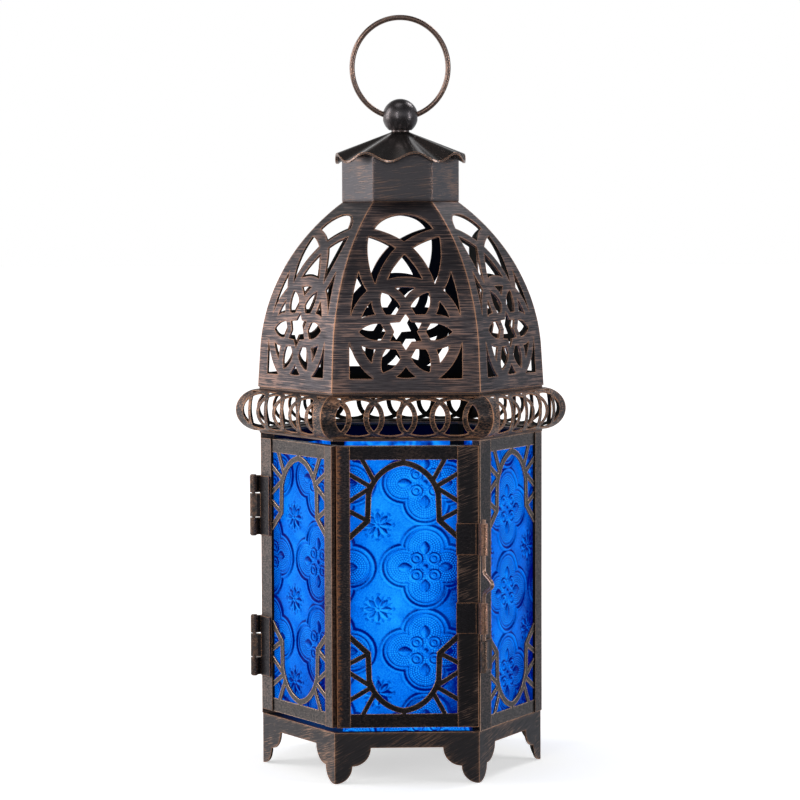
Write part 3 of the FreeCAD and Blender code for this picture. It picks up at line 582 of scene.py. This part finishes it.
def blurred(painted_light):
    """Mean of a grid and its eight shifts by BLUR steps."""
    shifts = (-BLUR, 0, BLUR)
    return sum(np.roll(painted_light, (a, b), (0, 1)) for a in shifts for b in shifts) / len(shifts) ** 2


def pane_faces(pressed, border, behind, field):
    """Faces of the pressed side, of the edges and the margin of the inner side, and of the field in it.
    pressed and field are grids of point numbers; behind are the inner points behind the border's."""
    edges = np.stack([border, behind, np.roll(behind, -1), np.roll(border, -1)], axis=-1)
    starts = np.cumsum([0] + [side.size - 1 for side in rim(pressed)])
    closed = np.append(behind, behind[0])
    margins = [side.tolist() + closed[start:end + 1][::-1].tolist()
               for side, start, end in zip(rim(field), starts[:-1], starts[1:])]
    return quads(pressed).tolist(), edges.tolist() + margins, quads(field)[:, [0, 3, 2, 1]].tolist()


def make_pane(pane):
    """Pane with the pattern pressed into its outer side. Its inner side is smooth: a field with the painted
    glow and a covered margin round it."""
    turn = TURNS[pane.face]
    front_low, front_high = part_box("door_glass_front")
    outer_n = -front_low.y
    inner_n = -front_high.y
    low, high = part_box(pane.node)
    if pane.foot:
        low.z = pane.foot

    t_line = line(-front_high.x, front_high.x, GLASS_STEP)
    z_line = line(low.z, high.z, GLASS_STEP)
    t, z = np.meshgrid(t_line, z_line)
    height, light = pattern(t, z, pane.first_t, pane.first_z)
    height = np.clip(height, LOWEST, HIGHEST)
    n = outer_n - HIGHEST * RELIEF + RELIEF * height
    pressed = np.arange(t.size).reshape(t.shape)
    border = np.concatenate([side[:-1] for side in rim(pressed)])
    behind = np.arange(border.size) + t.size
    field_t, field_z = np.meshgrid(line(*pane.field, INNER_STEP),
                                   line(low.z + RAIL, high.z - RAIL, INNER_STEP))
    field = np.arange(field_t.size).reshape(field_t.shape) + t.size + border.size
    all_t = np.concatenate([t.ravel(), t.ravel()[border], field_t.ravel()])
    all_n = np.concatenate([n.ravel(), np.full(border.size + field_t.size, inner_n)])
    all_z = np.concatenate([z.ravel(), z.ravel()[border], field_z.ravel()])

    pressed_faces, covered_faces, smooth_faces = pane_faces(pressed, border, behind, field)
    piece = mesh_piece(pane.name, on_face(turn, all_t, all_n, all_z),
                       pressed_faces + covered_faces + smooth_faces, blues[PRESSED])
    piece.data.materials.append(blues[SMOOTH])
    piece.data.materials.append(blues[COVERED])
    slots = np.repeat([PRESSED, COVERED, SMOOTH],
                      [len(pressed_faces), len(covered_faces), len(smooth_faces)])
    piece.data.polygons.foreach_set("material_index", slots.astype(np.int32))
    piece.data.polygons.foreach_set("use_smooth", slots == PRESSED)

    # painted light and shade of the glass, kept on its points
    painted_light = painted_pane_light(pane, t_line, z_line, height, light)
    nearest = np.ix_(np.searchsorted(z_line, field_z[:, 0]), np.searchsorted(t_line, field_t[0]))
    all_painted_light = np.concatenate([painted_light.ravel(), painted_light.ravel()[border], blurred(painted_light)[nearest].ravel()])
    layer = piece.data.attributes.new("painted_light", "FLOAT", "POINT")
    layer.data.foreach_set("value", all_painted_light.astype(np.float32))
    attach(piece, pane.body)
    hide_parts(pane.node)


for pane in panes:
    make_pane(pane)


# ---------------------------------------------------------------- materials of the metal nodes
DOME_SHADED_TOP = 42 * MM          # below the dome's top, where painted shade towards the top begins and its brushing starts to fade

finishes = {"skirt": bronze("skirt_bronze", "scratched", slant=0.5, streaks=0.70, wear_and_glint=0.95, fringe=0.55,
                            dark=(0.046, 0.042, 0.045, 1), mid=(0.080, 0.073, 0.077, 1),
                            rub=(0.46, 0.27, 0.18, 1), marks_from=0.81, sharpness=18.0),
            "plain": bronze("inner_bronze", "smooth", streaks=0.1, wear_and_glint=0.3, fringe=0.1, gloss=0.45,
                            shade_inside=False),
            "floor": bronze("floor_bronze", "smooth", streaks=0.2, wear_and_glint=0.4, fringe=0.1, gloss=0.45,
                            shade_inside=False),
            "pierced": bronze("dome_bronze", "level", streaks=0.65, wear_and_glint=0.95, fringe=0.85,
                              dark=(0.024, 0.021, 0.025, 1), mid=(0.145, 0.126, 0.134, 1),
                              rub=(0.40, 0.24, 0.185, 1), marks_from=0.79, sharpness=14.0,
                              painted_shade_from=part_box("dome_petal_front")[1].z - DOME_SHADED_TOP),
            "gallery": bronze("gallery_bronze", "scuffed", streaks=0.8, wear_and_glint=1.0, fringe=0.9,
                              rub=(0.42, 0.22, 0.13, 1)),
            "gallery_ring": bronze("gallery_ring_bronze", "level", streaks=0.2, wear_and_glint=0.6, fringe=0.2,
                                   shade_inside=False),
            "fretwork": bronze("fretwork_bronze", "scuffed", streaks=0.20, wear_and_glint=1.3, fringe=0.2,
                               edge=0.45 * MM, round_edge=0.45 * MM, gloss=0.28,
                               dark=(0.034, 0.031, 0.032, 1), mid=(0.130, 0.114, 0.110, 1),
                               rim_colour=PALE_COPPER_GLINT),
            "front_fretwork": bronze("front_fretwork_bronze", "scuffed", streaks=0.25, wear_and_glint=0.9, fringe=0.3,
                                     edge=0.35 * MM, round_edge=0.45 * MM, gloss=0.26, dark=SOOT,
                                     mid=NIGHT, rim_colour=PALE_COPPER_GLINT),
            "channel": bronze("channel_bronze", "scuffed", streaks=0.35, wear_and_glint=0.8, fringe=0.35,
                              dark=(0.040, 0.036, 0.037, 1), mid=(0.160, 0.139, 0.134, 1)),
            "dark_channel": bronze("dark_channel_bronze", "scuffed", streaks=0.20, wear_and_glint=0.8, fringe=0.35,
                                   dark=(0.035, 0.031, 0.036, 1), mid=(0.075, 0.068, 0.075, 1)),
            "latch_channel": bronze("latch_channel_bronze", "scuffed", streaks=0.30, wear_and_glint=1.0, fringe=0.35,
                                    mid=(0.080, 0.073, 0.077, 1), rim_colour=PALE_COPPER_GLINT),
            "latch_stile": bronze("latch_stile_bronze", "slanted", slant=0.35, streaks=0.8, wear_and_glint=0.95,
                                  fringe=0.6, dark=SOOT, mid=(0.040, 0.037, 0.040, 1),
                                  marks_from=0.80, sharpness=16.0),
            "rubbed_stile": rubbed_stile("rubbed_stile_bronze", band_from=-26.6 * MM,
                                         band_to=-25.2 * MM),
            "hinge": hardware("hinge_bronze", SATIN),
            "guide": hardware("guide_bronze", GUIDE_COPPER),
            "bolt": bronze("bolt_bronze", "upright", streaks=0.9, wear_and_glint=0.4, fringe=0.6, gloss=0.26,
                           dark=BROWN, mid=BOLT_COPPER_SHEEN, shade_inside=False),
            "collar": bronze("collar_bronze", "slanted", slant=0.12, streaks=0.7, wear_and_glint=0.3, fringe=0.35,
                             round_edge=1.8 * MM, gloss=0.30, dark=(0.098, 0.092, 0.100, 1),
                             mid=(0.112, 0.104, 0.112, 1), marks_from=0.80, sharpness=20.0,
                             bump_strength=0.08),
            "cap": bronze("cap_bronze", "smooth", streaks=0.15, wear_and_glint=1.0, fringe=0.35, gloss=0.20,
                          edge=0.35 * MM, dark=SATIN_DARK, mid=SATIN, bump_strength=0.05, shade_inside=False),
            "finial": bronze("finial_bronze", "smooth", streaks=0.10, wear_and_glint=0.2, fringe=0.1, gloss=0.30,
                             dark=(0.080, 0.074, 0.078, 1), mid=(0.100, 0.093, 0.098, 1),
                             bump_strength=0.05, shade_inside=False),
            "ring": bronze("ring_bronze", "smooth", streaks=0.9, wear_and_glint=0.2, fringe=0.2, gloss=0.30,
                           dark=SLATE, mid=BROWN, shade_inside=False)}
# the finish of the nodes whose names start like this; the longest fitting start counts
starts = {"base_skirt": "skirt", "floor_plate": "floor", "dome_petal": "pierced", "gallery": "gallery",
          "gallery_lower_ring": "gallery_ring", "gallery_upper_ring": "gallery_ring",
          "fretwork": "fretwork", "door_fretwork": "fretwork",
          "door_fretwork_front": "front_fretwork", "corner_post": "channel", "door_": "channel",
          "door_front_inner_stile": "rubbed_stile", "door_latch_stile": "latch_stile",
          "hinge_post": "dark_channel", "latch_post": "latch_channel",
          "hinge": "hinge", "latch_guide": "guide", "latch_keeper": "hinge", "latch_bolt": "bolt",
          "collar": "collar", "collar_strap": "plain", "cap_roof": "cap", "ball": "finial",
          "finial": "finial", "hang_ring": "ring"}


def finish_of(node):
    """The finish whose start of a node name fits the most letters."""
    fits = [start for start in starts if node.startswith(start)]
    return finishes[starts[max(fits, key=len)]] if fits else finishes["plain"]


for node, cad_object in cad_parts.items():
    material = finish_of(node)
    if not cad_object.material_slots:
        cad_object.data.materials.append(material)
    for material_slot in cad_object.material_slots:
        material_slot.material = material


# ---------------------------------------------------------------- floor, world, lights and camera
FLOOR_SIZE = 24.0
FLOOR_GAP = 0.05 * MM         # below the feet, so that the faces don't coincide
FLOOR_GREY = (0.85, 0.85, 0.85, 1)
SHADOW_REACH = 0.06           # from the axis; beyond it the floor's glow grows from SHADOW_GLOW
WHITE_REACH = 0.55            # to 1 here
SHADOW_GLOW = 0.55
WHITE = (1, 1, 1, 1)
COOL_WHITE = (0.88, 0.93, 1.0, 1)

# place, width and height, and power in watts of each light; all of them face the lantern's middle
LIGHTS = {"key_left": ((-1.0, 0.1, 0.5), (0.5, 0.9), 6),
          "fill_right": ((0.95, -0.52, 0.30), (0.12, 0.7), 2.8),
          "rim_right": ((0.55, 0.45, 0.95), (0.3, 0.3), 2.5),
          "front_strip": ((-0.45, -1.0, 0.45), (0.10, 0.7), 2.2),
          "top": ((-0.15, -0.15, 1.3), (0.5, 0.5), 1.2)}

CAMERA_PLACE = (-0.0454, -1.1647, 0.2184)
CAMERA_YAW = math.radians(-2.21)
CAMERA_PITCH = math.radians(86.433)
CAMERA_ROLL = math.radians(-0.175)
SENSOR_WIDTH = 36.0           # in millimetres, like the lens
LENS = 131.2


def studio_floor():
    """Pale floor that fades into the white all round; only its soft shadow shows it."""
    material, nodes, shader = new_material("pale_floor")
    shader.inputs["Base Color"].default_value = FLOOR_GREY
    shader.inputs["Roughness"].default_value = 0.9
    shader.inputs["Emission Color"].default_value = WHITE
    glow = nodes.ramp(axis_distance(nodes), SHADOW_REACH, WHITE_REACH, SHADOW_GLOW, 1.0)
    nodes.join(glow, shader.inputs["Emission Strength"])
    half = FLOOR_SIZE / 2
    corners = np.array([(-half, -half, 0), (half, -half, 0), (half, half, 0), (-half, half, 0)], float)
    floor = mesh_piece("studio_floor", corners, [(0, 1, 2, 3)], material)
    floor.location.z = cad_low.z - FLOOR_GAP
    floor.visible_glossy = False


def studio_world():
    """White seen directly. Its light is strong behind and to the left, weaker on the right, and dim
    overhead and low down on the camera's side."""
    world = bpy.data.worlds.new("studio")
    world.use_nodes = True
    bpy.context.scene.world = world
    nodes = Nodes(world.node_tree)
    background = world.node_tree.nodes["Background"]
    direction = nodes.axes(nodes.add("ShaderNodeTexCoord").outputs["Generated"])
    behind = nodes.ramp(direction["Y"], -0.35, 0.55)
    level = nodes.ramp(direction["Z"], -0.04, 0.06, 0.0, 0.80)
    overhead = nodes.ramp(direction["Z"], 0.30, 0.70, 1.0, 0.10)
    sideways = nodes.ramp(direction["X"], -0.5, 0.6, 1.0, 0.55)
    light = nodes.math("ADD", nodes.math("MAXIMUM", behind, level), 0.04)
    light = nodes.math("MULTIPLY", light, overhead)
    light = nodes.math("MULTIPLY", light, sideways)
    seen = nodes.add("ShaderNodeLightPath").outputs["Is Camera Ray"]
    tinted = nodes.blend(nodes.ramp(direction["X"], 0.0, 0.8), WHITE, COOL_WHITE)
    nodes.join(nodes.blend(seen, tinted, WHITE), background.inputs["Color"])
    nodes.join(nodes.math("MAXIMUM", light, seen), background.inputs["Strength"])


def softbox(name, place, size, power):
    data = bpy.data.lights.new(name, "AREA")
    data.shape = "RECTANGLE"
    data.size, data.size_y = size
    data.energy = power
    lamp = bpy.data.objects.new(name, data)
    bpy.context.scene.collection.objects.link(lamp)
    lamp.location = place
    towards = Vector((0, 0, cad_high.z / 2)) - Vector(place)
    lamp.rotation_euler = towards.to_track_quat("-Z", "Y").to_euler()
    lamp.visible_camera = False


def camera():
    data = bpy.data.cameras.new("camera")
    data.sensor_width = SENSOR_WIDTH
    data.lens = LENS
    holder = bpy.data.objects.new("camera", data)
    bpy.context.scene.collection.objects.link(holder)
    yaw = Matrix.Rotation(CAMERA_YAW, 4, "Z")
    pitch = Matrix.Rotation(CAMERA_PITCH, 4, "X")
    roll = Matrix.Rotation(CAMERA_ROLL, 4, "Z")
    holder.matrix_world = Matrix.Translation(CAMERA_PLACE) @ yaw @ pitch @ roll
    bpy.context.scene.camera = holder


studio_floor()
studio_world()
for name, details in LIGHTS.items():
    softbox(name, *details)
camera()
bpy.context.scene.view_settings.view_transform = "Standard"
